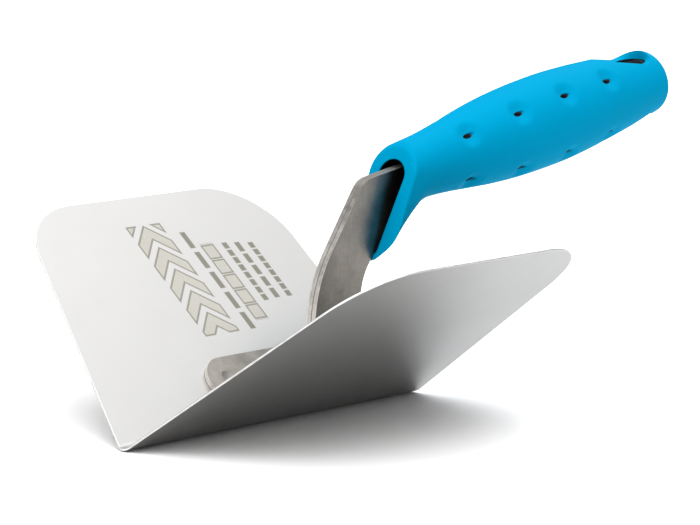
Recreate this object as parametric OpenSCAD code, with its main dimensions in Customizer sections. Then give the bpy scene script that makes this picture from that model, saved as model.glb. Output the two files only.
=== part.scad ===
// Inside corner trowel: a folded stainless blade, a two-piece pressed tang,
// a hard handle core and a soft grip sleeve moulded over the core.
// +X points to the toe, +Y to the left wing and +Z up, midway between the wings.
// The origin is the middle of the working edge, on the outside of the fold.

/* [Blade] */
// Length of the working edge
blade_l = 125; // [110:1:160]
// Width of each flat wing, from the fold to its top edge
wing_w = 90; // [75:1:110]
// Angle between the wings
fold_angle = 103; // [100:1:106]
// Thickness of the blade sheet
sheet_t = 0.6; // [0.4:0.1:1]
// Outside radius of the fold
fold_r = 4; // [2.5:0.5:5]
// Backward lean of the toe edges
toe_lean = 15.35; // [0:0.05:20]
// Corner radius between a toe edge and its top edge
toe_corner_r = 26; // [10:1:30]
// Corner radius between a heel edge and its top edge
heel_corner_r = 25; // [10:1:30]

/* [Tang] */
// Sheet thickness of each tang half
tang_t = 1.75; // [1.2:0.05:2]
// Inside radius of the bend between neck and foot
tang_bend_r = 1.25; // [1:0.05:2]
// Width of the neck where it rises from the feet
neck_w = 20; // [16:1:22]
// Place of the neck's front edge along the blade
neck_front = -15; // [-16:0.5:-14]
// Lean of the neck's upper front edge from the vertical
neck_lean = 34; // [32:1:36]
// Length of each foot
foot_l = 60; // [50:1:80]
// Width of each foot
foot_w = 19; // [15:0.5:24]
// Height of the tail that the core grips
tail_h = 8; // [6:0.5:8]
// Length of the tail behind the handle's reference point
tail_l = 68; // [50:1:75]
// Diameter of the holes that lock the tail in the core
tail_hole_d = 4; // [2:0.5:5]

/* [Handle] */
// Tilt of the handle's axis above the working edge
handle_tilt = 9.46; // [9:0.02:10]
// Greatest radius of the grip
grip_r = 14.75; // [13.5:0.05:16]
// Radius of the grip's neck
grip_neck_r = 9.52; // [9.4:0.02:10]
// Radius of the grip before its rounded butt
grip_butt_r = 10.74; // [10.5:0.02:12]
// Length of the rounded butt
butt_l = 4.5; // [4:0.5:8]
// Wall of the soft sleeve over the core
sleeve_wall = 3; // [2.5:0.1:3]
// Lean of the mouth's rim from square across the axis
mouth_lean = 29.9; // [29:0.1:31]

/* [Dimples] */
// Number of dimples along each row
dimple_count = 4; // [1:1:4]
// Spacing of the dimples along a row
dimple_pitch = 22.4; // [16:0.2:23]
// Width of a dimple at the grip's surface
dimple_d = 8.4; // [6:0.2:10]
// Diameter of the pin hole at the bottom of a dimple
pin_hole_d = 2.6; // [1:0.1:3.2]

/* [Hang hole] */
// Diameter of the hole through the core
hang_d = 10; // [7:0.5:10]
// Diameter of the funnel in the sleeve, at the grip's surface
hang_mouth_d = 14.4; // [12:0.1:15]

/* [Hidden] */
$fn = 96;
eps = 0.01;
// Run of one shape past another, where they fuse or one trims the other.
overlap = 1;
bend_steps = 24;
corner_steps = 32;

// Blade: the flat outer faces would meet at a virtual apex below the rounded fold.
half_fold = fold_angle / 2;
apex_z = fold_r * (1 - 1 / sin(half_fold));
fold_s = fold_r / tan(half_fold);
bottom_s = -apex_z * cos(half_fold);
wing_top = fold_s + wing_w;
blade_end = blade_l / 2;

// Tang: neck outline in the symmetry plane, as [x, z].
inner_apex_z = apex_z + sheet_t / sin(half_fold);
tang_out_r = tang_bend_r + tang_t;
tang_bend_z = inner_apex_z + tang_out_r * (1 + cos(half_fold)) / sin(half_fold);
foot_s = (tang_bend_z - apex_z) * cos(half_fold) + tang_out_r * sin(half_fold);
foot_front = 15;
neck_rear = neck_front - neck_w;
front_sweep_r = 40;
front_sweep_z = 26.4;
rear_sweep_r = 17.5;
rear_sweep_z = 33.1;
rear_lean = 46;
shoulder_r = 7;
tail_top = 2.5;
tail_holes = [20, 48];

// Handle: stations run back along the axis from the reference point.
handle_x = -68;
handle_z = 71.9;
neck_a = -16;
heel_a = -12;
belly_a = 54;
butt_a = 105.5;
core_a = -8;
grip_front = [[neck_a, grip_neck_r], [9.6, grip_neck_r], [15.2, grip_r], [belly_a, grip_r]];
grip_rear = [[belly_a, grip_r], [73.2, grip_r], [104.5, grip_butt_r], [butt_a, grip_butt_r]];

// Mouth rim: an egg in a leaning plane, built on circles given as [height, radius].
lip_a = -32.4;
lip_v = -22.5;
rim_outside = [[4.34, 5.14], [8.54, 8.13], [27, 9.3]];
rim_inside = [[3, 2.5], [12.8, 3.6], [26.3, 5.2]];
throat_r = grip_neck_r - sleeve_wall;

// Dimples and hang hole.
dimple_a = 9;
dimple_angles = [42, -46];
dimple_depth = 1.1;
dimple_ball_r = (dimple_d * dimple_d / 4 + dimple_depth * dimple_depth) / (2 * dimple_depth);
hang_a = 99;
hang_surface_v = 10.5;
hang_core_v = 8;

function arc(centre, r, from, to, steps = 12) =
    [for (i = [0:steps]) centre + r * [cos(from + (to - from) * i / steps),
                                       sin(from + (to - from) * i / steps)]];

// Point where the line through p along angle a meets the line through q along angle b.
function meet(p, a, q, b) =
    let (k = ((q[0] - p[0]) * sin(b) - (q[1] - p[1]) * cos(b)) / sin(b - a))
    p + k * [cos(a), sin(a)];

function curve_point(c, t) =
    pow(1 - t, 3) * c[0] + 3 * pow(1 - t, 2) * t * c[1]
    + 3 * (1 - t) * t * t * c[2] + pow(t, 3) * c[3];

function curve(c, steps = 20) = [for (i = [0:steps]) curve_point(c, i / steps)];

// Radius of the grip at station a, read off its outline.
function grip_radius(a) = lookup(a, concat(curve(grip_front), curve(grip_rear)));

// Station a, height v above the axis, as [x, z] in the symmetry plane.
function on_handle(a, v) =
    [handle_x, handle_z] + a * [-cos(handle_tilt), sin(handle_tilt)]
    + v * [sin(handle_tilt), cos(handle_tilt)];

// ---- Blade ----

// Local XY is the left wing's outer face and local Z points into the trowel.
module wing_frame() {
    translate([0, 0, apex_z]) rotate([90 - half_fold, 0, 0]) children();
}

module along_blade(length) {
    translate([-length / 2, 0, 0]) rotate([90, 0, 90]) linear_extrude(length) children();
}

function toe_x(s) = blade_end - (s - bottom_s) * tan(toe_lean);

module wing_outline() {
    low_s = bottom_s - fold_r;
    toe_s = wing_top - toe_corner_r;
    toe_centre = [toe_x(toe_s) - toe_corner_r / cos(toe_lean), toe_s];
    heel_centre = [heel_corner_r - blade_end, wing_top - heel_corner_r];
    polygon(concat(
        [[-blade_end, low_s], [toe_x(low_s), low_s]],
        arc(toe_centre, toe_corner_r, toe_lean, 90, corner_steps),
        arc(heel_centre, heel_corner_r, 90, 180, corner_steps)
    ));
}

// One face of a bent sheet in its section: a straight run, an arc and a straight run.
function bent_path(centre, r, from, to, run_in, run_out) = concat(
    [centre + r * [cos(from), sin(from)] + run_in * [sin(from), -cos(from)]],
    arc(centre, r, from, to, bend_steps),
    [centre + r * [cos(to), sin(to)] + run_out * [-sin(to), cos(to)]]
);

// Section of a bent sheet between its faces at radii r and r - t.
module bent_section(centre, r, t, from, to, run_in, run_out) {
    outer = bent_path(centre, r, from, to, run_in, run_out);
    inner = bent_path(centre, r - t, from, to, run_in, run_out);
    polygon(concat(outer, [for (i = [len(inner) - 1:-1:0]) inner[i]]));
}

module blade_trim() {
    translate([0, 0, -fold_r]) linear_extrude(3 * fold_r) difference() {
        translate([-blade_l, bottom_s - sheet_t]) square([2 * blade_l, 2 * wing_w]);
        wing_outline();
    }
}

module blade() {
    run = wing_w + overlap;
    color([0.82, 0.82, 0.81]) difference() {
        along_blade(blade_l + 2 * overlap)
            bent_section([0, fold_r], fold_r, sheet_t, half_fold - 180, -half_fold, run, run);
        for (side = [0, 1]) mirror([0, side, 0]) wing_frame() blade_trim();
    }
}

// ---- Tang ----

// Neck and tail in the symmetry plane, with the holes that lock the tail in the core.
module tang_outline() {
    back = 180 - handle_tilt;
    front_centre = [neck_front - front_sweep_r, front_sweep_z];
    front_end = front_centre + front_sweep_r * [cos(neck_lean), sin(neck_lean)];
    shoulder = meet(front_end, 90 + neck_lean, on_handle(0, tail_top), back);
    shoulder_run = shoulder_r * tan((back - 90 - neck_lean) / 2);
    shoulder_centre = shoulder - shoulder_run * [-sin(neck_lean), cos(neck_lean)]
        - shoulder_r * [cos(neck_lean), sin(neck_lean)];
    tail_r = tail_h / 2;
    tail_v = tail_top - tail_r;
    rear_centre = [neck_rear - rear_sweep_r, rear_sweep_z];
    rear_end = rear_centre + rear_sweep_r * [cos(rear_lean), sin(rear_lean)];
    difference() {
        polygon(concat(
            [[neck_front, tang_bend_z + overlap]],
            arc(front_centre, front_sweep_r, 0, neck_lean),
            arc(shoulder_centre, shoulder_r, neck_lean, back - 90),
            arc(on_handle(tail_l - tail_r, tail_v), tail_r, back - 90, back + 90, corner_steps),
            [meet(rear_end, 90 + rear_lean, on_handle(0, tail_top - tail_h), back)],
            arc(rear_centre, rear_sweep_r, rear_lean, 0),
            [[neck_rear, tang_bend_z + overlap]]
        ));
        for (a = tail_holes) translate(on_handle(a, tail_v)) circle(d = tail_hole_d);
    }
}

module foot() {
    end_r = foot_w / 2;
    wing_frame() translate([0, foot_s, sheet_t]) linear_extrude(tang_t) polygon(concat(
        arc([foot_front - end_r, end_r], end_r, -90, 90, corner_steps),
        arc([foot_front - foot_l + end_r, end_r], end_r, 90, 270, corner_steps)
    ));
}

module tang_half() {
    color([0.62, 0.59, 0.56]) {
        translate([0, tang_t, 0]) rotate([90, 0, 0]) linear_extrude(tang_t) tang_outline();
        translate([neck_front - neck_w / 2, 0, 0]) along_blade(neck_w)
            bent_section([tang_out_r, tang_bend_z], tang_out_r, tang_t, -180, -half_fold,
                         2 * overlap, foot_w / 2);
        foot();
    }
}

module tang_left() {
    tang_half();
}

module tang_right() {
    mirror([0, 1, 0]) tang_half();
}

// ---- Handle ----

// Local Z runs back along the handle's axis and local X points up from it.
module handle_frame() {
    translate([handle_x, 0, handle_z]) rotate([0, handle_tilt - 90, 0]) children();
}

// Solid of revolution: the grip's outline drawn in by inset, from station a to the butt.
module grip_body(a, inset) {
    side = concat(curve(grip_front), curve(grip_rear));
    end_r = grip_butt_r - inset;
    end_l = butt_l - inset;
    rotate_extrude() polygon(concat(
        [[0, a], [grip_radius(a) - inset, a]],
        [for (p = side) if (p[0] > a) [p[1] - inset, p[0]]],
        [for (t = [5:5:85]) [end_r * cos(t), butt_a + end_l * sin(t)]],
        [[0, butt_a + end_l]]
    ));
}

// Local XY is the plane of the mouth's rim, with local Y up it from the lip.
module rim_frame() {
    translate([lip_v, 0, lip_a]) rotate([0, -mouth_lean, 0]) rotate(-90) children();
}

module rim_slice(circles, thickness) {
    rim_frame() translate([0, 0, -thickness]) linear_extrude(2 * thickness) {
        for (c = circles) translate([0, c[0]]) circle(c[1], $fn = 40);
    }
}

module guard() {
    hull() {
        rim_slice(rim_outside, eps);
        translate([0, 0, heel_a]) cylinder(h = 1, r = grip_radius(heel_a), $fn = 40);
    }
}

module throat() {
    hull() {
        rim_slice(rim_inside, 0.5);
        translate([0, 0, heel_a]) cylinder(h = eps, r = throat_r, $fn = 40);
    }
    translate([0, 0, heel_a]) cylinder(h = core_a - heel_a + eps, r = throat_r);
}

module hang_bore(d) {
    translate([0, 0, hang_a]) rotate([0, 90, 0]) cylinder(h = 3 * grip_r, d = d, center = true);
}

module hang_funnels() {
    reach = 4;
    rise = hang_surface_v - hang_core_v;
    spread = (hang_mouth_d - hang_d) / 2;
    translate([0, 0, hang_a]) for (turn = [90, -90]) rotate([0, turn, 0]) {
        translate([0, 0, hang_core_v])
            cylinder(h = rise + reach, r1 = hang_d / 2, r2 = hang_d / 2 + spread * (1 + reach / rise));
    }
}

// A shallow ball-shaped hollow with a pin hole down to the core.
module dimple(a, angle) {
    r = grip_radius(a);
    translate([0, 0, a]) rotate(angle) rotate([0, 90, 0]) {
        translate([0, 0, r - dimple_depth + dimple_ball_r]) sphere(dimple_ball_r);
        translate([0, 0, r - sleeve_wall]) cylinder(h = sleeve_wall, d = pin_hole_d);
    }
}

module handle_core() {
    color([0.06, 0.07, 0.09]) difference() {
        handle_frame() grip_body(core_a, sleeve_wall);
        handle_frame() hang_bore(hang_d);
        translate([0, tang_t, 0]) rotate([90, 0, 0]) linear_extrude(2 * tang_t) tang_outline();
    }
}

module grip_sleeve() {
    color([0.03, 0.62, 0.84]) handle_frame() difference() {
        union() {
            grip_body(heel_a, 0);
            guard();
        }
        grip_body(core_a, sleeve_wall);
        throat();
        hang_bore(hang_d);
        hang_funnels();
        for (i = [0:dimple_count - 1], tilt = dimple_angles, side = [1, -1]) {
            dimple(dimple_a + i * dimple_pitch, side * (90 - tilt));
        }
    }
}

blade();
tang_left();
tang_right();
handle_core();
grip_sleeve();
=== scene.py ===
"""Looks of the inside corner trowel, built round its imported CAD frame.

Everything is in metres in the CAD frame: +X to the toe, +Y to the left wing, +Z up between the
wings, with the origin on the working edge. Stations on the handle run back along its axis, and
heights on it run up from that axis.
"""

import bisect
import math

import bmesh
import bpy
from mathutils import Matrix, Vector


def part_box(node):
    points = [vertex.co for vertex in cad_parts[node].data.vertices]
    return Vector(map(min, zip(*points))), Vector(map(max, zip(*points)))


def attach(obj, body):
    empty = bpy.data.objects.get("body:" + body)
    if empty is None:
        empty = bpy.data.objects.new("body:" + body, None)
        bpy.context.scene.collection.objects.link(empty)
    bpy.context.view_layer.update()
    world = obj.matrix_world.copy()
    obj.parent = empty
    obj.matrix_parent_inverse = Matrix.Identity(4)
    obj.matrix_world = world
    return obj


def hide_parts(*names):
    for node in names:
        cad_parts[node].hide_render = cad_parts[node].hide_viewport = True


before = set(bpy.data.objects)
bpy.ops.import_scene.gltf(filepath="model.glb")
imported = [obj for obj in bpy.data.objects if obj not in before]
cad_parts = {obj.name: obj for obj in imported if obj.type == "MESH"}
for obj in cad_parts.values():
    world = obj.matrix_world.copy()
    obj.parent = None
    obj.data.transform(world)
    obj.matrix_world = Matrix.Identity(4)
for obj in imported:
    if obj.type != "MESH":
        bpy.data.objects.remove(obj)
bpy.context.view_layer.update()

MM = 0.001
BODY = "root"


# ---------------------------------------------------------------- sizes
# Mostly as in the CAD. The guard's curves, the feet's flares and weld dents, the hang hole's scoop
# and the pin holes are finer here.

# Blade: one sheet folded round the working edge.
HALF_FOLD = math.radians(51.5)
SHEET_T = 0.6 * MM
FOLD_R = 4 * MM
WING_W = 90 * MM
TOE_LEAN = math.radians(15.35)
TOE_CORNER_R = 26 * MM
HEEL_CORNER_R = 25 * MM
HEEL_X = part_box("blade")[0].x
TOE_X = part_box("blade")[1].x
APEX_Z = FOLD_R * (1 - 1 / math.sin(HALF_FOLD))
FOLD_S = FOLD_R / math.tan(HALF_FOLD)
BOTTOM_S = -APEX_Z * math.cos(HALF_FOLD)
WING_TOP = FOLD_S + WING_W
UP_WING = Vector((0, math.sin(HALF_FOLD), math.cos(HALF_FOLD)))
INTO_WING = Vector((0, -math.cos(HALF_FOLD), math.sin(HALF_FOLD)))
# Length of half the fold's outer arc.
HALF_ARC = FOLD_R * (math.pi / 2 - HALF_FOLD)

# Tang: two mirrored pressings, back to back in the symmetry plane.
TANG_T = 1.75 * MM
TANG_OUT_R = 3 * MM
TANG_BEND_Z = (APEX_Z + SHEET_T / math.sin(HALF_FOLD)
               + TANG_OUT_R * (1 + math.cos(HALF_FOLD)) / math.sin(HALF_FOLD))
NECK_FRONT = -15 * MM
NECK_REAR = -35 * MM
NECK_LEAN = math.radians(34)
FRONT_SWEEP_R = 40 * MM
FRONT_SWEEP_Z = 26.4 * MM
REAR_LEAN = math.radians(46)
REAR_SWEEP_R = 17.5 * MM
REAR_SWEEP_Z = 33.1 * MM
SHOULDER_R = 7 * MM
TAIL_TOP = 2.5 * MM
TAIL_H = 8 * MM
TAIL_L = 68 * MM
FOOT_FRONT = 15 * MM
FOOT_L = 60 * MM
FOOT_W = 19 * MM
FOOT_FLARE = 2.2 * MM
WELD_STATIONS = (7 * MM, -15 * MM, -37 * MM)
WELD_R = 2.2 * MM
WELD_DEPTH = 0.18 * MM
WELD_OUT = 2 * MM

# Handle: a body of revolution about a tilted axis, with a guard round its mouth.
TILT = math.radians(9.46)
AXIS_POINT = Vector((-68 * MM, 0, 71.9 * MM))
BACK = Vector((-math.cos(TILT), 0, math.sin(TILT)))
UP = Vector((math.sin(TILT), 0, math.cos(TILT)))
SIDE = Vector((0, 1, 0))
SLEEVE_WALL = 3 * MM
HEEL_A = -11 * MM
CORE_A = -8 * MM
BUTT_A = 105.5 * MM
BUTT_R = 10.74 * MM
BUTT_L = 4.5 * MM
# The grip's side as curves of (station, radius), in millimetres.
OUTLINE = (
    ((-16, 9.52), (9.6, 9.52), (15.2, 14.75), (54, 14.75)),
    ((54, 14.75), (73.2, 14.75), (104.5, 10.74), (105.5, 10.74)),
)
# The guard's rim lies in a plane that leans back from its lip. Each of its outlines wraps circles
# of (height up from the lip, radius), in millimetres.
LIP_A = -32.4 * MM
LIP_V = -22.5 * MM
MOUTH_LEAN = math.radians(29.9)
RIM_OUTSIDE = ((4.5, 5.6), (9.5, 9.1), (27, 9.6))
RIM_INSIDE = ((3, 2.5), (12.8, 3.6), (26.3, 5.2))
RIM_EDGE = 1.6 * MM
RIM_LIP = 0.7 * MM
GUARD_FLARE = 0.2

# Dimples in four rows, 42 degrees above and 46 below the handle's sides, with a pin hole in each
# that is drawn out along the handle and narrowed across it.
DIMPLE_STATIONS = [(9 + 22.4 * i) * MM for i in range(4)]
DIMPLE_ANGLES = [math.radians(side * (90 - tilt)) for tilt in (42, -46) for side in (1, -1)]
DIMPLE_DEPTH = 1.5 * MM
DIMPLE_REACH = 5.2 * MM
PIN_R = 1.2 * MM
PIN_LONG = 1.65
PIN_NARROW = 0.72

# The hang hole: an oval bore up to a collar, and the rim of the scoop that it opens into, as
# curves of (station, half width) from the scoop's front tip to its rear, in millimetres.
HANG_A = 99 * MM
BORE_A = HANG_A + 0.5 * MM
BORE_HALF_L = 5.6 * MM
BORE_HALF_W = 5.15 * MM
COLLAR_V = 8 * MM
SCOOP_RIM = (
    ((82.5, 0), (82.6, 3.8), (88, 6.2), (98.8, 7.75)),
    ((98.8, 7.75), (101.3, 8.1), (105.2, 6.2), (105.4, 0)),
)


# ---------------------------------------------------------------- mesh helpers

def piece_from(name, bm, materials, node, sharp_angle):
    """Makes a smooth-shaded piece of a closed bmesh, riding on the body in place of a CAD node.

    Edges beyond sharp_angle degrees and edges between materials stay sharp; at 0 every edge is
    taken as rounded already.
    """
    bmesh.ops.recalc_face_normals(bm, faces=bm.faces)
    bm.edges.index_update()
    seams = [edge.index for edge in bm.edges
             if len({face.material_index for face in edge.link_faces}) > 1]
    mesh = bpy.data.meshes.new(name)
    bm.to_mesh(mesh)
    bm.free()
    mesh.polygons.foreach_set("use_smooth", [True] * len(mesh.polygons))
    if sharp_angle:
        mesh.set_sharp_from_angle(angle=math.radians(sharp_angle))
        for i in seams:
            mesh.edges[i].use_edge_sharp = True
    else:
        # Weighted by area, so that broad flat faces stay flat up to their rounded edges.
        normals = [Vector((0, 0, 0)) for _ in mesh.vertices]
        for face in mesh.polygons:
            for i in face.vertices:
                normals[i] += face.area * face.normal
        mesh.normals_split_custom_set_from_vertices([normal.normalized() for normal in normals])
    for material in materials:
        mesh.materials.append(material)
    piece = bpy.data.objects.new(name, mesh)
    bpy.context.scene.collection.objects.link(piece)
    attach(piece, BODY)
    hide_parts(node)


def arc(centre, radius, start, end, steps):
    """Points round part of a circle, with angles in degrees."""
    points = []
    for i in range(steps + 1):
        angle = math.radians(start + (end - start) * i / steps)
        points.append((centre[0] + radius * math.cos(angle), centre[1] + radius * math.sin(angle)))
    return points


def thick_sheet(polygons, place, thickness, edge_r, edge_steps, edge_material):
    """A bent sheet: flat polygons that share edges, put in space on both faces and closed.

    place(x, u, depth) says where a point of the flat pattern goes. Returns a bmesh whose cut
    edges carry the material of index edge_material. They are rounded by edge_r, or by less where
    the bevel would overlap: an outline that doubles back on itself leaves them almost sharp.
    """
    bm = bmesh.new()
    pairs = {}

    def pair(point):
        key = (round(point[0] * 1e7), round(point[1] * 1e7))
        if key not in pairs:
            pairs[key] = (bm.verts.new(place(point[0], point[1], 0)),
                          bm.verts.new(place(point[0], point[1], thickness)))
        return key

    # Sides that only one polygon has are cut edges.
    sides = {}
    for polygon in polygons:
        keys = []
        for point in polygon:
            key = pair(point)
            if not keys or (keys[-1] != key and keys[0] != key):
                keys.append(key)
        bm.faces.new([pairs[key][0] for key in keys])
        bm.faces.new([pairs[key][1] for key in reversed(keys)])
        for i, key in enumerate(keys):
            following = keys[(i + 1) % len(keys)]
            edge = frozenset((key, following))
            sides[edge] = None if edge in sides else (key, following)
    for ends in sides.values():
        if ends:
            first, second = (pairs[key] for key in ends)
            side = bm.faces.new((second[0], first[0], first[1], second[1]))
            side.material_index = edge_material
    bmesh.ops.recalc_face_normals(bm, faces=bm.faces)
    steep = math.radians(60)
    rims = [edge for edge in bm.edges if edge.calc_face_angle(0) > steep]
    bmesh.ops.bevel(bm, geom=rims, offset=edge_r, segments=edge_steps, profile=0.5,
                    affect="EDGES", clamp_overlap=True, material=edge_material)
    return bm


# ---------------------------------------------------------------- node materials

class Shader:
    """A node material with one principled shader, and short ways to add nodes to it."""

    def __init__(self, name, **constants):
        self.material = bpy.data.materials.new(name)
        self.material.use_nodes = True
        self.tree = self.material.node_tree
        self.surface = self.tree.nodes["Principled BSDF"]
        for key, value in constants.items():
            self.surface.inputs[key.replace("_", " ")].default_value = value
        self.position = self.node("ShaderNodeTexCoord").outputs["Object"]

    def node(self, kind, **settings):
        """A new node of a kind, with settings such as its operation."""
        made = self.tree.nodes.new(kind)
        for key, value in settings.items():
            setattr(made, key, value)
        return made

    def feed(self, socket, value):
        """Links a socket to a socket, or sets it to a constant."""
        if isinstance(value, bpy.types.NodeSocket):
            self.tree.links.new(value, socket)
        else:
            socket.default_value = value

    def math(self, operation, *values):
        """The result of a Math node, whose inputs are sockets or numbers."""
        made = self.node("ShaderNodeMath", operation=operation)
        for socket, value in zip(made.inputs, values):
            self.feed(socket, value)
        return made.outputs[0]

    def noise(self, size, detail=2.0, roughness=0.5, stretch=(1, 1, 1)):
        """Noise with features about size metres across, drawn out along each axis by stretch."""
        mapping = self.node("ShaderNodeMapping")
        self.feed(mapping.inputs["Vector"], self.position)
        mapping.inputs["Scale"].default_value = [1 / (size * part) for part in stretch]
        made = self.node("ShaderNodeTexNoise")
        self.feed(made.inputs["Vector"], mapping.outputs[0])
        made.inputs["Scale"].default_value = 1.0
        made.inputs["Detail"].default_value = detail
        made.inputs["Roughness"].default_value = roughness
        return made.outputs["Fac"]

    def range(self, value, low, high, to_low, to_high):
        """A value taken from one range to another and held at its ends."""
        made = self.node("ShaderNodeMapRange")
        for socket, item in zip(made.inputs, (value, low, high, to_low, to_high)):
            self.feed(socket, item)
        return made.outputs[0]

    def blend(self, factor, first, second):
        """A colour between two, each of them a socket or three numbers."""
        made = self.node("ShaderNodeMix", data_type="RGBA")
        self.feed(made.inputs[0], factor)
        for socket, colour in ((made.inputs[6], first), (made.inputs[7], second)):
            self.feed(socket, colour if isinstance(colour, bpy.types.NodeSocket) else (*colour, 1))
        return made.outputs[2]

    def bump(self, height, distance, strength=1.0, normal=None):
        """A normal bumped by a height, on top of another bump's if one is given."""
        made = self.node("ShaderNodeBump")
        made.inputs["Distance"].default_value = distance
        made.inputs["Strength"].default_value = strength
        self.feed(made.inputs["Height"], height)
        if normal is not None:
            self.feed(made.inputs["Normal"], normal)
        return made.outputs[0]

    def split_position(self):
        """The position's X, Y and Z."""
        parts = self.node("ShaderNodeSeparateXYZ")
        self.feed(parts.inputs[0], self.position)
        return parts.outputs

    def fed(self, name):
        """What feeds an input of the principled shader."""
        return self.surface.inputs[name].links[0].from_socket

    def set(self, **values):
        """Feeds the principled shader's inputs, named with _ for each space."""
        for key, value in values.items():
            self.feed(self.surface.inputs[key.replace("_", " ")], value)


def blade_steel(name):
    """Satin stainless sheet: rolling grain along the blade, faint clouds and finger marks."""
    steel = Shader(name, Metallic=1.0)
    clouds = steel.noise(30 * MM, 3)
    grain = steel.noise(0.25 * MM, 3, 0.6, (40, 1, 1))
    smudges = steel.range(steel.noise(14 * MM, 4, 0.5), 0.52, 0.75, 0, 1)
    # The steel's slight warm tint is a painted reflection of a warm surround.
    colour = steel.blend(clouds, (0.338, 0.335, 0.331), (0.348, 0.345, 0.340))
    roughness = steel.math("ADD", steel.range(clouds, 0.3, 0.7, 0.32, 0.35),
                           steel.range(grain, 0.3, 0.7, -0.015, 0.015))
    roughness = steel.math("MULTIPLY_ADD", smudges, 0.02, roughness)
    steel.set(Base_Color=colour, Roughness=roughness,
              Normal=steel.bump(grain, 0.002 * MM, 0.2))
    return steel


def marked_steel(name):
    """The blade's steel with a generic etched badge and bars, on the right wing's inner face."""
    steel = blade_steel(name)
    x, y, z = steel.split_position()
    # Distance up the right wing from where its flat outer faces would meet.
    up = steel.math("MULTIPLY", y, -UP_WING.y)
    up = steel.math("MULTIPLY_ADD", steel.math("SUBTRACT", z, APEX_Z), UP_WING.z, up)

    def box(x_mid, x_half, up_mid, up_half):
        """How far a point lies outside a box, and below zero inside it, in metres."""
        across = steel.math("ABSOLUTE", steel.math("SUBTRACT", x, x_mid * MM))
        along = steel.math("ABSOLUTE", steel.math("SUBTRACT", up, up_mid * MM))
        return steel.math("MAXIMUM", steel.math("SUBTRACT", across, x_half * MM),
                          steel.math("SUBTRACT", along, up_half * MM))

    def inside(distance, soft):
        """1 inside a shape and 0 outside it, fading over soft millimetres to each side."""
        return steel.range(distance, -soft * MM, soft * MM, 1, 0)

    # Badge: a column of chevrons that point up the wing.
    badge_x, chevron_pitch = -5, 9.2 * MM
    badge = box(badge_x, 7, 58.4, 22.8)
    slant = steel.math("ABSOLUTE", steel.math("SUBTRACT", x, badge_x * MM))
    ramp = steel.math("DIVIDE", steel.math("ADD", up, slant), chevron_pitch)
    wave = steel.math("ABSOLUTE", steel.math("SUBTRACT", steel.math("FRACT", ramp), 0.5))
    # Across a band that slants at 45 degrees, a distance is 0.7 of that up the wing.
    band = steel.math("MULTIPLY", steel.math("SUBTRACT", wave, 0.3), chevron_pitch * 0.7)
    chevron = steel.math("MAXIMUM", badge, band)

    def dashed(distance, pitch, share):
        """Breaks a shape into dashes up the wing, each a share of their pitch in length."""
        beat = steel.math("FRACT", steel.math("DIVIDE", up, pitch * MM))
        middle = steel.math("ABSOLUTE", steel.math("SUBTRACT", beat, 0.5))
        gap = steel.math("MULTIPLY", steel.math("SUBTRACT", middle, share / 2), pitch * MM)
        return steel.math("MAXIMUM", distance, gap)

    blocks = dashed(box(-24.4, 2.5, 54.4, 16), 6.4, 0.86)
    outlined = steel.math("MINIMUM", chevron, blocks)
    fill = inside(outlined, 0.1)
    line = inside(steel.math("SUBTRACT", steel.math("ABSOLUTE", outlined), 0.3 * MM), 0.1)

    # Bars, some of them broken into dashes, where a maker would put words.
    bars = None
    for x_mid, x_half, up_mid, up_half, pitch in (
            (-18.3, 1.1, 55.9, 21.5, 8.6), (-31.8, 1.1, 57.6, 12.8, 3.2),
            (-37, 1.1, 57.5, 12.5, 5), (-42.4, 1.1, 57, 12, 3)):
        mask = inside(dashed(box(x_mid, x_half, up_mid, up_half), pitch, 0.8), 0.15)
        bars = mask if bars is None else steel.math("MAXIMUM", bars, mask)

    mottle = steel.noise(0.8 * MM, 3)
    etched = steel.blend(mottle, (0.36, 0.345, 0.295), (0.44, 0.425, 0.375))
    dark = (0.15, 0.143, 0.11)
    colour = steel.blend(steel.math("MULTIPLY", fill, 0.65), steel.fed("Base Color"), etched)
    strokes = steel.math("MAXIMUM", steel.math("MULTIPLY", line, 0.75),
                         steel.math("MULTIPLY", bars, 0.85))
    colour = steel.blend(strokes, colour, dark)
    marks = steel.math("MAXIMUM", fill, strokes)
    roughness = steel.math("MULTIPLY_ADD", marks, 0.25, steel.fed("Roughness"))
    steel.set(Base_Color=colour, Roughness=roughness)
    return steel


def tang_steel(name):
    """Tumbled pressing: warm grey, mottled, pitted and streaked."""
    steel = Shader(name, Metallic=1.0)
    blotches = steel.noise(7 * MM, 5, 0.62)
    grit = steel.noise(0.55 * MM, 4, 0.6)
    streaks = steel.noise(1.6 * MM, 3, 0.5, (1, 1, 5))
    colour = steel.blend(steel.range(blotches, 0.32, 0.68, 0, 1),
                         (0.145, 0.134, 0.119), (0.235, 0.221, 0.199))
    colour = steel.blend(steel.range(grit, 0.56, 0.72, 0, 0.5), colour, (0.075, 0.069, 0.062))
    colour = steel.blend(steel.range(streaks, 0.55, 0.8, 0, 0.35), colour, (0.27, 0.256, 0.236))
    roughness = steel.range(blotches, 0.3, 0.7, 0.29, 0.40)
    dents = steel.bump(blotches, 0.06 * MM)
    steel.set(Base_Color=colour, Roughness=roughness,
              Normal=steel.bump(grit, 0.02 * MM, 0.8, dents))
    return steel


def lit_sheared_edge(name, colour, roughness):
    """Cut edge of a sheet: bright, partly as bare metal and partly as a painted highlight, with fine
    streaks left across it by the shear.
    """
    steel = Shader(name, Metallic=1.0)
    streaks = steel.noise(0.35 * MM, 3, 0.6)
    wear = steel.noise(4 * MM, 3)
    dull = tuple(part * 0.72 for part in colour)
    steel.set(Base_Color=steel.blend(steel.range(wear, 0.5, 0.75, 0, 0.8), colour, dull),
              Roughness=steel.range(streaks, 0.3, 0.7, roughness - 0.06, roughness + 0.08),
              Normal=steel.bump(streaks, 0.02 * MM, 0.7))
    return steel


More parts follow.
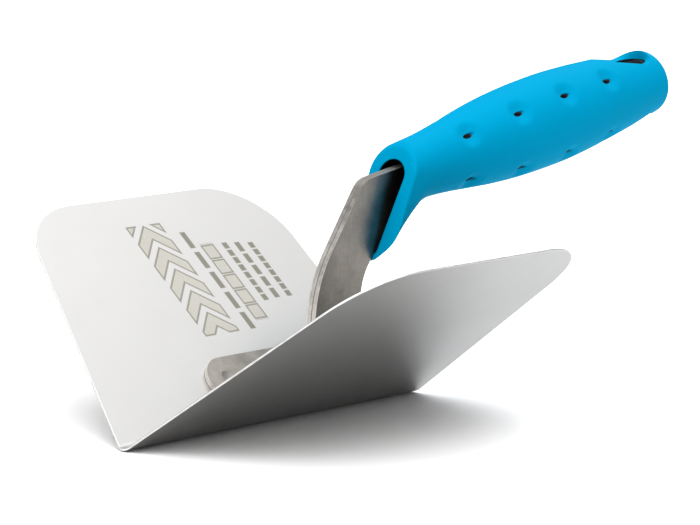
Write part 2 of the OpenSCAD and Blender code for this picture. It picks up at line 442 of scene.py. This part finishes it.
def tang_edge(name):
    """The tang's cut edges: painted shade in the seam between the halves, dark grit and a line left
    by the shear.
    """
    steel = lit_sheared_edge(name, (0.74, 0.705, 0.665), 0.48)
    _, y, z = steel.split_position()
    out = steel.math("ABSOLUTE", y)
    # Depth in the sheet: from the symmetry plane on the neck, from the wing on a foot.
    above = steel.math("MULTIPLY", steel.math("SUBTRACT", z, APEX_Z), INTO_WING.z)
    above = steel.math("SUBTRACT", steel.math("MULTIPLY_ADD", out, INTO_WING.y, above), SHEET_T)
    depth = steel.math("MINIMUM", out, above)
    # The seam between the halves is painted dark, as shade in the groove there.
    seam = steel.range(depth, 0.14 * MM, 0.34 * MM, 0.8, 0)
    ridge_depth = 0.6 * TANG_T
    ridge = steel.math("ABSOLUTE", steel.math("SUBTRACT", depth, ridge_depth))
    ridge = steel.range(ridge, 0.06 * MM, 0.18 * MM, 0.35, 0)
    grit = steel.range(steel.noise(0.9 * MM, 4, 0.6), 0.52, 0.68, 0, 0.4)
    dirt_and_seam_shade = steel.math("MAXIMUM", steel.math("MAXIMUM", seam, ridge), grit)
    # Brighter low on the neck, darker near the handle, with ragged patches between.
    patches = steel.range(steel.noise(2.5 * MM, 4, 0.6), 0.3, 0.7, -9 * MM, 9 * MM)
    upward_darkening = steel.range(steel.math("ADD", z, patches), 34 * MM, 66 * MM, 0, 1)
    clean = steel.blend(upward_darkening, steel.fed("Base Color"), (0.25, 0.238, 0.225))
    steel.set(Base_Color=steel.blend(dirt_and_seam_shade, clean, (0.20, 0.185, 0.17)))
    return steel


def grip_rubber(name):
    """Soft satin rubber: an even cyan, faintly clouded, with a fine moulded grain."""
    rubber = Shader(name, Specular_IOR_Level=0.005, Specular_Tint=(0.02, 0.75, 1, 1))
    clouds = rubber.noise(18 * MM, 3)
    grain = rubber.noise(0.35 * MM, 2)
    colour = rubber.blend(clouds, (0.0, 0.22, 0.395), (0.0, 0.24, 0.425))
    roughness = rubber.range(clouds, 0.3, 0.7, 0.5, 0.58)
    rubber.set(Base_Color=colour, Roughness=roughness,
               Normal=rubber.bump(grain, 0.012 * MM, 0.6))
    return rubber


def core_plastic(name, gloss, shade):
    """Hard dark plastic with a spark-eroded surface, its colour made lighter or darker by shade:
    above 1 a painted highlight, below 1 painted shade.
    """
    dark, light = (tuple(shade * part for part in colour)
                   for colour in ((0.016, 0.018, 0.022), (0.030, 0.032, 0.036)))
    plastic = Shader(name, Specular_IOR_Level=gloss)
    grain = plastic.noise(0.3 * MM, 3)
    clouds = plastic.noise(5 * MM, 3)
    plastic.set(Base_Color=plastic.blend(clouds, dark, light),
                Roughness=plastic.range(clouds, 0.3, 0.7, 0.5, 0.62),
                Normal=plastic.bump(grain, 0.02 * MM, 0.7))
    return plastic


# ---------------------------------------------------------------- blade

def blade_point(x, u, depth):
    """Where a point of the blade's flat pattern goes, u being measured from the fold."""
    side = 1 if u >= 0 else -1
    if abs(u) <= HALF_ARC:
        angle = -math.pi / 2 + abs(u) / FOLD_R
        radius = FOLD_R - depth
        y, z = radius * math.cos(angle), FOLD_R + radius * math.sin(angle)
    else:
        start = Vector((0, FOLD_R * math.cos(HALF_FOLD), FOLD_R - FOLD_R * math.sin(HALF_FOLD)))
        place = start + (abs(u) - HALF_ARC) * UP_WING + depth * INTO_WING
        y, z = place.y, place.z
    return Vector((x, side * y, z))


def toe_at(s):
    """Place of the toe edge at distance s up a wing."""
    return TOE_X - max(s - BOTTOM_S, 0) * math.tan(TOE_LEAN)


def make_blade():
    """The folded sheet: strips across its fold and a flat wing on each side."""
    strips = 12
    levels = [HALF_ARC * i / strips for i in range(-strips, strips + 1)]

    def toe_near(u):
        return toe_at(FOLD_S + abs(u) - HALF_ARC)

    polygons = []
    for low, high in zip(levels, levels[1:]):
        polygons.append([(HEEL_X, low), (toe_near(low), low),
                         (toe_near(high), high), (HEEL_X, high)])

    toe_s = WING_TOP - TOE_CORNER_R
    lean = math.degrees(TOE_LEAN)
    toe_centre = (toe_at(toe_s) - TOE_CORNER_R / math.cos(TOE_LEAN), toe_s)
    heel_centre = (HEEL_X + HEEL_CORNER_R, WING_TOP - HEEL_CORNER_R)
    to_pattern = HALF_ARC - FOLD_S
    rim = (arc(toe_centre, TOE_CORNER_R, lean, 90, 40)
           + arc(heel_centre, HEEL_CORNER_R, 90, 180, 40))
    wing = [(HEEL_X, HALF_ARC), (toe_near(HALF_ARC), HALF_ARC)]
    wing += [(x, s + to_pattern) for x, s in rim]
    polygons.append(wing)
    polygons.append([(x, -u) for x, u in reversed(wing)])

    marked_index, edge_index = 1, 2
    bm = thick_sheet(polygons, blade_point, SHEET_T, 0.12 * MM, 2, edge_index)
    # The right wing's inner face carries the etched marks.
    broad = 1000 * MM * MM
    for face in bm.faces:
        if face.calc_area() > broad and face.calc_center_median().y < 0 and face.normal.z > 0:
            face.material_index = marked_index
    plain = blade_steel("blade_steel_satin")
    marked = marked_steel("blade_steel_etched")
    # The cut edges are lighter than the faces, partly as a painted highlight.
    bright = lit_sheared_edge("blade_steel_edge", (0.66, 0.66, 0.65), 0.42)
    piece_from("blade_sheet", bm, [plain.material, marked.material, bright.material],
               "blade", 0)


# ---------------------------------------------------------------- tang

def on_handle(a, v):
    """The x and z of a place at station a and height v on the handle."""
    place = AXIS_POINT + a * BACK + v * UP
    return (place.x, place.z)


def meet(p, a, q, b):
    """Point where the line through p along angle a meets the line through q along angle b."""
    reach = ((q[0] - p[0]) * math.sin(b) - (q[1] - p[1]) * math.cos(b)) / math.sin(b - a)
    return (p[0] + reach * math.cos(a), p[1] + reach * math.sin(a))


def tang_point(side):
    """Where points of a tang half's flat pattern go, u being z on the neck, and the bend's length."""
    bend = math.pi - HALF_FOLD
    length = TANG_OUT_R * bend

    def place(x, u, depth):
        run = TANG_BEND_Z - u
        radius = TANG_OUT_R - depth
        if run <= 0:
            y, z = depth, u
        elif run <= length:
            angle = -math.pi + run / TANG_OUT_R
            y = TANG_OUT_R + radius * math.cos(angle)
            z = TANG_BEND_Z + radius * math.sin(angle)
        else:
            y = TANG_OUT_R + radius * math.cos(-HALF_FOLD) + (run - length) * UP_WING.y
            z = TANG_BEND_Z + radius * math.sin(-HALF_FOLD) + (run - length) * UP_WING.z
        return Vector((x, side * y, z))

    return place, length


def make_tang(name, node, side, materials):
    """One pressing: a cranked neck with its tail, a bend and a round-ended foot with weld dents."""
    place, bend_length = tang_point(side)
    lean, back = math.degrees(NECK_LEAN), 180 - math.degrees(TILT)
    front_centre = (NECK_FRONT - FRONT_SWEEP_R, FRONT_SWEEP_Z)
    front = arc(front_centre, FRONT_SWEEP_R, 0, lean, 16)
    shoulder = meet(front[-1], math.radians(90 + lean), on_handle(0, TAIL_TOP), math.radians(back))
    run = SHOULDER_R * math.tan(math.radians((back - 90 - lean) / 2))
    shoulder_centre = (shoulder[0] + run * math.sin(NECK_LEAN) - SHOULDER_R * math.cos(NECK_LEAN),
                       shoulder[1] - run * math.cos(NECK_LEAN) - SHOULDER_R * math.sin(NECK_LEAN))
    rear_centre = (NECK_REAR - REAR_SWEEP_R, REAR_SWEEP_Z)
    rear = arc(rear_centre, REAR_SWEEP_R, math.degrees(REAR_LEAN), 0, 12)
    tail_r = TAIL_H / 2
    tail_low = on_handle(0, TAIL_TOP - TAIL_H)
    neck = [(NECK_FRONT, TANG_BEND_Z)] + front
    neck += arc(shoulder_centre, SHOULDER_R, lean, back - 90, 10)
    neck += arc(on_handle(TAIL_L - tail_r, TAIL_TOP - tail_r), tail_r, back - 90, back + 90, 12)
    neck += [meet(rear[0], math.radians(90) + REAR_LEAN, tail_low, math.radians(back))]
    neck += rear + [(NECK_REAR, TANG_BEND_Z)]
    polygons = [neck]

    # Late in the bend the strip flares a little into the foot. Its rear corner ends 1.7 mm past
    # the start of the foot's round end, so the outline doubles back there. That clamps the bevel,
    # and the tang's edges stay almost sharp.
    strips, flare_from = 12, 0.55
    rows = []
    for i in range(strips + 1):
        share = i / strips
        flared = max(share - flare_from, 0) / (1 - flare_from)
        out = FOOT_FLARE * (1 - math.sqrt(max(1 - flared ** 2, 0)))
        rows.append((TANG_BEND_Z - bend_length * share, NECK_REAR - out, NECK_FRONT + out))
    for above, below in zip(rows, rows[1:]):
        polygons.append([(above[1], above[0]), (below[1], below[0]),
                         (below[2], below[0]), (above[2], above[0])])
    top, rear_x, front_x = rows[-1]
    end_r = FOOT_W / 2
    foot = [(front_x, top), (rear_x, top)]
    foot += arc((FOOT_FRONT - FOOT_L + end_r, top - end_r), end_r, 90, 270, 32)
    foot += arc((FOOT_FRONT - end_r, top - end_r), end_r, -90, 90, 32)
    polygons.append(foot)
    edge_index = 1
    bm = thick_sheet(polygons, place, TANG_T, 0.45 * MM, 3, edge_index)
    # Spot welds leave shallow bowls along the foot. Their cutters go on past the rim, clear of
    # the foot's face.
    welds = bmesh.new()
    inward = Vector((0, side * INTO_WING.y, INTO_WING.z))
    rings = 6
    for x in WELD_STATIONS:
        centre = place(x, top - end_r - WELD_OUT, TANG_T)
        dent = [(-WELD_DEPTH, 0)]
        for i in range(1, rings + 3):
            radius = WELD_R * i / rings
            dent.append((WELD_DEPTH * ((i / rings) ** 2 - 1), radius))
        dent.append((dent[-1][0], 0))
        add_shape(welds, lathe(dent, centre, inward, 28))
    piece_from(name, cut(bm, welds), materials, node, 0)


# ---------------------------------------------------------------- grip sleeve

def bezier(control, steps):
    """Points along a curve with four control points in millimetres."""
    points = []
    for i in range(steps + 1):
        t = i / steps
        weights = ((1 - t) ** 3, 3 * t * (1 - t) ** 2, 3 * t * t * (1 - t), t ** 3)
        points.append(tuple(sum(w * p[axis] for w, p in zip(weights, control)) * MM
                            for axis in (0, 1)))
    return points


GRIP_TABLE = bezier(OUTLINE[0], 60) + bezier(OUTLINE[1], 60)[1:]


def grip_radius(a):
    """The grip's radius at a station."""
    stations = [point[0] for point in GRIP_TABLE]
    i = min(max(bisect.bisect_right(stations, a), 1), len(stations) - 1)
    (a0, r0), (a1, r1) = GRIP_TABLE[i - 1], GRIP_TABLE[i]
    return r0 + (r1 - r0) * min(max((a - a0) / (a1 - a0), 0), 1)


def on_grip(a, radius, angle):
    """A point at a station, a radius and an angle from the top towards the left."""
    return AXIS_POINT + a * BACK + radius * (math.cos(angle) * UP + math.sin(angle) * SIDE)


def rim_point(across, height):
    """A point of the mouth's leaning rim plane, height being measured up from the lip."""
    up_rim = math.cos(MOUTH_LEAN) * UP + math.sin(MOUTH_LEAN) * BACK
    return AXIS_POINT + LIP_A * BACK + LIP_V * UP + height * up_rim + across * SIDE


def egg(circles, around):
    """Points round the outline that wraps some circles, shared out as its direction turns.

    Straight runs are spread over nearby directions, so that points are never far apart.
    """
    fine = 720
    outline = []
    for i in range(fine + 1):
        turn = 2 * math.pi * i / fine
        height, radius = max(circles, key=lambda c: c[0] * math.cos(turn) + c[1])
        outline.append((radius * MM * math.sin(turn), (height + radius * math.cos(turn)) * MM))
    travelled = [0.0]
    for before, after in zip(outline, outline[1:]):
        travelled.append(travelled[-1] + math.dist(before, after))
    whole = travelled[-1]

    def travel(i):
        return travelled[i % fine] + whole * (i // fine)

    window = 44
    points = []
    for j in range(around):
        middle = round(fine * j / around)
        weights = [window + 1 - abs(k) for k in range(-window, window + 1)]
        reach = sum(w * travel(middle + k) for w, k in zip(weights, range(-window, window + 1)))
        reach = (reach / sum(weights)) % whole
        i = min(max(bisect.bisect_right(travelled, reach), 1), fine)
        share = (reach - travelled[i - 1]) / max(travelled[i] - travelled[i - 1], 1e-9)
        points.append(tuple(outline[i - 1][axis] + share * (outline[i][axis] - outline[i - 1][axis])
                            for axis in (0, 1)))
    return points


def quadratic(first, middle, last, t):
    """A point of the curve that leaves one point towards a middle one and ends at a third."""
    return (1 - t) ** 2 * first + 2 * t * (1 - t) * middle + t * t * last


def corner(before, at, after, reach, steps):
    """Points of a soft corner at a point, between two others."""
    start = at + min(reach, (before - at).length * 0.45) * (before - at).normalized()
    end = at + min(reach, (after - at).length * 0.45) * (after - at).normalized()
    return [quadratic(start, at, end, i / steps) for i in range(steps + 1)]


def spread(first, last, steps):
    """Points strictly between two others."""
    return [first.lerp(last, i / steps) for i in range(1, steps)]


def guard_run(before, heel, out, steps):
    """Points from before the guard's heel to near its rim, flaring like a bell."""
    length = (out - heel).length
    middle = heel.lerp(out, 0.5).lerp(heel - 0.5 * length * BACK, GUARD_FLARE)
    start = min(4 * MM / length, 0.3)
    end = 1 - min(2 * MM / length, 0.3)
    first = quadratic(heel, middle, out, start)
    points = [quadratic(before, heel, first, i / 8) for i in range(1, 9)]
    return points + [quadratic(heel, middle, out, start + (end - start) * i / steps)
                     for i in range(1, steps + 1)]


def dished(point, a):
    """A point of the grip's surface, pressed in where it lies in a dimple."""
    for station in DIMPLE_STATIONS:
        if abs(a - station) > DIMPLE_REACH:
            continue
        for turn in DIMPLE_ANGLES:
            centre = on_grip(station, grip_radius(station), turn)
            share = (point - centre).length / DIMPLE_REACH
            if share < 1:
                outward = math.cos(turn) * UP + math.sin(turn) * SIDE
                point = point - outward * DIMPLE_DEPTH * (1 - share ** 2) ** 2
    return point


def lathe(profile, origin, direction, around):
    """A closed turned mesh from (distance along, radius) pairs whose ends lie on the axis."""
    bm = bmesh.new()
    across = direction.orthogonal().normalized()
    over = direction.cross(across)
    rings = []
    for along, radius in profile:
        middle = origin + along * direction
        if radius == 0:
            rings.append([bm.verts.new(middle)])
            continue
        turns = [2 * math.pi * j / around for j in range(around)]
        rings.append([bm.verts.new(middle + radius * (math.cos(t) * across + math.sin(t) * over))
                      for t in turns])
    join_rings(bm, rings)
    return bm


# Material indices of the sleeve's faces, the grip's own being 0.
LINER_AND_SHADE_FACE, PIN_FACE, CUT_FACE = 1, 2, 3


def join_rings(bm, rings, first_inner=None):
    """Faces between rings in turn, a ring of one vertex being a pole.

    From the ring numbered first_inner on, they carry the index of the dark lining, whose colour is
    darkened further as painted shade.
    """
    for k, (low, high) in enumerate(zip(rings, rings[1:])):
        around = max(len(low), len(high))
        for j in range(around):
            following = (j + 1) % around
            if len(low) == 1:
                corners = (low[0], high[following], high[j])
            elif len(high) == 1:
                corners = (low[j], low[following], high[0])
            else:
                corners = (low[j], low[following], high[following], high[j])
            face = bm.faces.new(corners)
            if first_inner is not None and k >= first_inner:
                face.material_index = LINER_AND_SHADE_FACE


def sleeve_mesh():
    """The sleeve before its holes: over the butt, along the grip, round the mouth and back in."""
    around, butt_steps, body_steps, inner_steps, inner_butt_steps = 160, 16, 170, 40, 10
    angles = [2 * math.pi * j / around for j in range(around)]
    rim_out, rim_in = egg(RIM_OUTSIDE, around), egg(RIM_INSIDE, around)
    neck_r = grip_radius(HEEL_A)
    body_front = HEEL_A + 4 * MM
    columns = []
    for angle, outer, inner in zip(angles, rim_out, rim_in):
        heel = on_grip(HEEL_A, neck_r, angle)
        out, into = rim_point(*outer), rim_point(*inner)
        throat = on_grip(HEEL_A, neck_r - SLEEVE_WALL, angle)
        column = []
        for i in range(1, butt_steps + 1):
            t = math.radians(90 - 90 * i / butt_steps)
            column.append(on_grip(BUTT_A + BUTT_L * math.sin(t), BUTT_R * math.cos(t), angle))
        for i in range(1, body_steps + 1):
            a = BUTT_A + (body_front - BUTT_A) * i / body_steps
            column.append(dished(on_grip(a, grip_radius(a), angle), a))
        column += guard_run(column[-1], heel, out, 22)
        # The last step is drawn out, so that its length doesn't limit the edge's reach.
        edge = corner(out + 4 * (column[-1] - out), out, into, RIM_EDGE, 9)
        lip = corner(out, into, throat, RIM_LIP, 4)
        column += edge + spread(edge[-1], lip[0], 3) + lip
        mouth_end = len(column)
        column += spread(lip[-1], throat, 10) + [throat]
        for i in range(inner_steps + 1):
            a = CORE_A + (BUTT_A - CORE_A) * i / inner_steps
            column.append(on_grip(a, grip_radius(a) - SLEEVE_WALL, angle))
        for i in range(1, inner_butt_steps):
            t = math.radians(90 * i / inner_butt_steps)
            column.append(on_grip(BUTT_A + (BUTT_L - SLEEVE_WALL) * math.sin(t),
                                  (BUTT_R - SLEEVE_WALL) * math.cos(t), angle))
        columns.append(column)

    bm = bmesh.new()
    rings = [[bm.verts.new(on_grip(BUTT_A + BUTT_L, 0, 0))]]
    for points in zip(*columns):
        rings.append([bm.verts.new(point) for point in points])
    rings.append([bm.verts.new(on_grip(BUTT_A + BUTT_L - SLEEVE_WALL, 0, 0))])
    join_rings(bm, rings, mouth_end)
    bmesh.ops.recalc_face_normals(bm, faces=bm.faces)
    return bm


def add_shape(whole, shape):
    """Moves a closed bmesh into another."""
    bmesh.ops.recalc_face_normals(shape, faces=shape.faces)
    mesh = bpy.data.meshes.new("shape")
    shape.to_mesh(mesh)
    shape.free()
    whole.from_mesh(mesh)
    bpy.data.meshes.remove(mesh)


def hang_cutter():
    """Cutter of the hang hole: a plain bore that opens into a drawn-out scoop at both ends."""
    half = bezier(SCOOP_RIM[0], 30) + bezier(SCOOP_RIM[1], 18)[1:]
    rim = half + [(a, -w) for a, w in reversed(half[1:-1])]
    bm = bmesh.new()

    def ring(share, end):
        """Round the hole between its collar, at share 0, and the grip's surface, at share 1."""
        points = []
        for a, w in rim:
            turn = math.atan2(w, a - BORE_A)
            base_a = BORE_A + BORE_HALF_L * math.cos(turn)
            base_w = BORE_HALF_W * math.sin(turn)
            surface = math.sqrt(grip_radius(a) ** 2 - w ** 2)
            rise = COLLAR_V + (surface - COLLAR_V) * share
            out = share ** 1.2
            points.append(AXIS_POINT + (base_a + (a - base_a) * out) * BACK + end * rise * UP
                          + (base_w + (w - base_w) * out) * SIDE)
        return [bm.verts.new(point) for point in points]

    steps, last_share, pole_v = 18, 1.35, 16 * MM
    shares = [last_share * i / steps for i in range(steps + 1)]
    middle = AXIS_POINT + BORE_A * BACK
    rings = [[bm.verts.new(middle - pole_v * UP)]]
    rings += [ring(share, -1) for share in reversed(shares)]
    rings += [ring(share, 1) for share in shares]
    rings.append([bm.verts.new(middle + pole_v * UP)])
    join_rings(bm, rings)
    # The core shows as a dark collar below the scoop. The bore's walls below it take the dark
    # lining's colour, darkened further as painted shade, and at the bore's sides this colour lies on
    # the rubber too.
    collar_limit = COLLAR_V + 0.02 * MM
    for face in bm.faces:
        highest = max(abs((vert.co - AXIS_POINT).dot(UP)) for vert in face.verts)
        face.material_index = LINER_AND_SHADE_FACE if highest < collar_limit else CUT_FACE
    return bm


def pin_cutter(station, turn):
    """Cutter of one pin hole: an oval rod with a softened mouth, down to the core."""
    outward = math.cos(turn) * UP + math.sin(turn) * SIDE
    sideways = outward.cross(BACK)
    origin = AXIS_POINT + station * BACK
    radius = grip_radius(station)
    bottom = radius - SLEEVE_WALL - 0.6 * MM
    wall_top = radius - 1.6 * MM
    profile = [(bottom, 0), (bottom, PIN_R), (wall_top, PIN_R),
               (radius - 1.3 * MM, 1.25 * MM), (radius - 1 * MM, 1.4 * MM),
               (radius + 1 * MM, 1.8 * MM), (radius + 1 * MM, 0)]
    pin = lathe(profile, origin, outward, 24)
    for vert in pin.verts:
        out = vert.co - origin
        vert.co += ((PIN_LONG - 1) * out.dot(BACK) * BACK
                    + (PIN_NARROW - 1) * out.dot(sideways) * sideways)
    for face in pin.faces:
        rise = (face.calc_center_median() - AXIS_POINT).dot(outward)
        face.material_index = PIN_FACE if rise < wall_top + 0.1 * MM else CUT_FACE
    return pin


def hole_cutters():
    """One mesh of all that is cut from the sleeve: the pin holes and the hang hole."""
    cutters = bmesh.new()
    for station in DIMPLE_STATIONS:
        for turn in DIMPLE_ANGLES:
            add_shape(cutters, pin_cutter(station, turn))
    add_shape(cutters, hang_cutter())
    return cutters


def cut(body, cutters):
    """The body's bmesh less the cutters' bmesh."""
    most_materials = 4
    objects = []
    for name, bm in (("body", body), ("cutters", cutters)):
        mesh = bpy.data.meshes.new(name)
        bm.to_mesh(mesh)
        bm.free()
        # The boolean keeps material indices only up to the number of slots.
        for _ in range(most_materials):
            mesh.materials.append(None)
        objects.append(bpy.data.objects.new(name, mesh))
        bpy.context.scene.collection.objects.link(objects[-1])
    modifier = objects[0].modifiers.new("holes", "BOOLEAN")
    modifier.operation = "DIFFERENCE"
    modifier.solver = "MANIFOLD"
    modifier.object = objects[1]
    evaluated = objects[0].evaluated_get(bpy.context.evaluated_depsgraph_get())
    result = bmesh.new()
    result.from_mesh(evaluated.to_mesh())
    evaluated.to_mesh_clear()
    for item in objects:
        old = item.data
        bpy.data.objects.remove(item)
        bpy.data.meshes.remove(old)
    return result


def make_sleeve():
    """The soft sleeve with its guard, dimples, pin holes and hang hole."""
    rubber = grip_rubber("grip_rubber_satin").material
    # The lining is the core's plastic made darker, as painted shade in the mouth and the hang hole;
    # the pins' plastic is made lighter, as a painted highlight.
    liner_and_shade = core_plastic("mouth_shade", 0.08, 0.45).material
    pins = core_plastic("pin_plastic_lit", 0.3, 3).material
    # The grip's own, then in the order of LINER_AND_SHADE_FACE, PIN_FACE and CUT_FACE.
    materials = [rubber, liner_and_shade, pins, rubber]
    piece_from("grip_soft", cut(sleeve_mesh(), hole_cutters()), materials,
               "grip_sleeve", 42)


# ---------------------------------------------------------------- set

def make_floor():
    """A broad pale floor just below the working edge."""
    half, drop = 6.0, 0.4 * MM
    bm = bmesh.new()
    signs = ((-1, -1), (1, -1), (1, 1), (-1, 1))
    bm.faces.new([bm.verts.new((x * half, y * half, -drop)) for x, y in signs])
    mesh = bpy.data.meshes.new("floor")
    bm.to_mesh(mesh)
    bm.free()
    pale = Shader("floor_paper", Roughness=0.9, Specular_IOR_Level=0.1)
    pale.set(Base_Color=pale.blend(pale.noise(80 * MM, 2), (0.88, 0.88, 0.88), (0.90, 0.90, 0.90)))
    mesh.materials.append(pale.material)
    floor = bpy.data.objects.new("floor", mesh)
    bpy.context.scene.collection.objects.link(floor)


def make_light():
    """A pale studio dome with soft lights overhead, behind and ahead, and one round key lamp."""
    world = bpy.data.worlds.new("studio")
    bpy.context.scene.world = world
    world.use_nodes = True
    nodes, links = world.node_tree.nodes, world.node_tree.links
    direction = nodes.new("ShaderNodeTexCoord").outputs["Generated"]

    def lobe(toward, low, high, dim, bright):
        """Light that rises from dim to bright as directions near the one given."""
        dot = nodes.new("ShaderNodeVectorMath")
        dot.operation = "DOT_PRODUCT"
        links.new(direction, dot.inputs[0])
        dot.inputs[1].default_value = Vector(toward).normalized()
        ramp = nodes.new("ShaderNodeMapRange")
        ramp.interpolation_type = "SMOOTHSTEP"
        links.new(dot.outputs["Value"], ramp.inputs[0])
        for socket, value in zip(ramp.inputs[1:5], (low, high, dim, bright)):
            socket.default_value = value
        return ramp.outputs[0]

    def add(first, second):
        total = nodes.new("ShaderNodeMath")
        links.new(first, total.inputs[0])
        links.new(second, total.inputs[1])
        return total.outputs[0]

    overhead = lobe((-0.08, 0, 1), 0.6, 0.97, 0.15, 3.4)
    behind = lobe((-0.8, -0.25, 0.5), 0.86, 0.97, 0, 1.05)
    high_behind = lobe((-0.5, -0.15, 0.87), 0.93, 0.99, 0, 0.7)
    ahead = lobe((0.8, 0.1, 0.6), 0.7, 0.97, 0, 2.3)
    total = add(add(overhead, behind), add(high_behind, ahead))
    background = nodes["Background"]
    background.inputs["Color"].default_value = (1, 1, 1, 1)
    links.new(total, background.inputs["Strength"])

    lamp = bpy.data.lights.new("key", "AREA")
    lamp.shape = "DISK"
    lamp.size = 0.7
    lamp.energy = 3.2
    key = bpy.data.objects.new("key", lamp)
    key.location = (0.25, 0.75, 1.3)
    target = Vector((-0.05, 0, 0.05))
    key.rotation_euler = (target - key.location).to_track_quat("-Z", "Y").to_euler()
    bpy.context.scene.collection.objects.link(key)


def make_camera():
    """A long lens, a little above the trowel, ahead of it and to its left."""
    place = Vector((0.70148, 0.67607, 0.21838))
    forward = Vector((-0.72417, -0.66779, -0.17215)).normalized()
    roll = math.radians(1.432)
    level = forward.cross(Vector((0, 0, 1))).normalized()
    upright = level.cross(forward)
    right = math.cos(roll) * level + math.sin(roll) * upright
    above = right.cross(forward)
    data = bpy.data.cameras.new("camera")
    data.sensor_width = 36
    data.lens = 171.476
    data.clip_start = 0.05
    data.clip_end = 50
    camera = bpy.data.objects.new("camera", data)
    camera.matrix_world = Matrix((
        (right.x, above.x, -forward.x, place.x),
        (right.y, above.y, -forward.y, place.y),
        (right.z, above.z, -forward.z, place.z),
        (0, 0, 0, 1),
    ))
    bpy.context.scene.collection.objects.link(camera)
    bpy.context.scene.camera = camera


# ---------------------------------------------------------------- the trowel

make_camera()
make_floor()
make_light()
bpy.context.scene.view_settings.view_transform = "Standard"

make_blade()
tang_materials = [tang_steel("tang_steel_tumbled").material,
                  tang_edge("tang_steel_edge").material]
make_tang("tang_pressing_left", "tang_left", 1, tang_materials)
make_tang("tang_pressing_right", "tang_right", -1, tang_materials)
make_sleeve()
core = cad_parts["handle_core"]
core.data.materials.clear()
core.data.materials.append(core_plastic("core_plastic_dark", 0.3, 1).material)
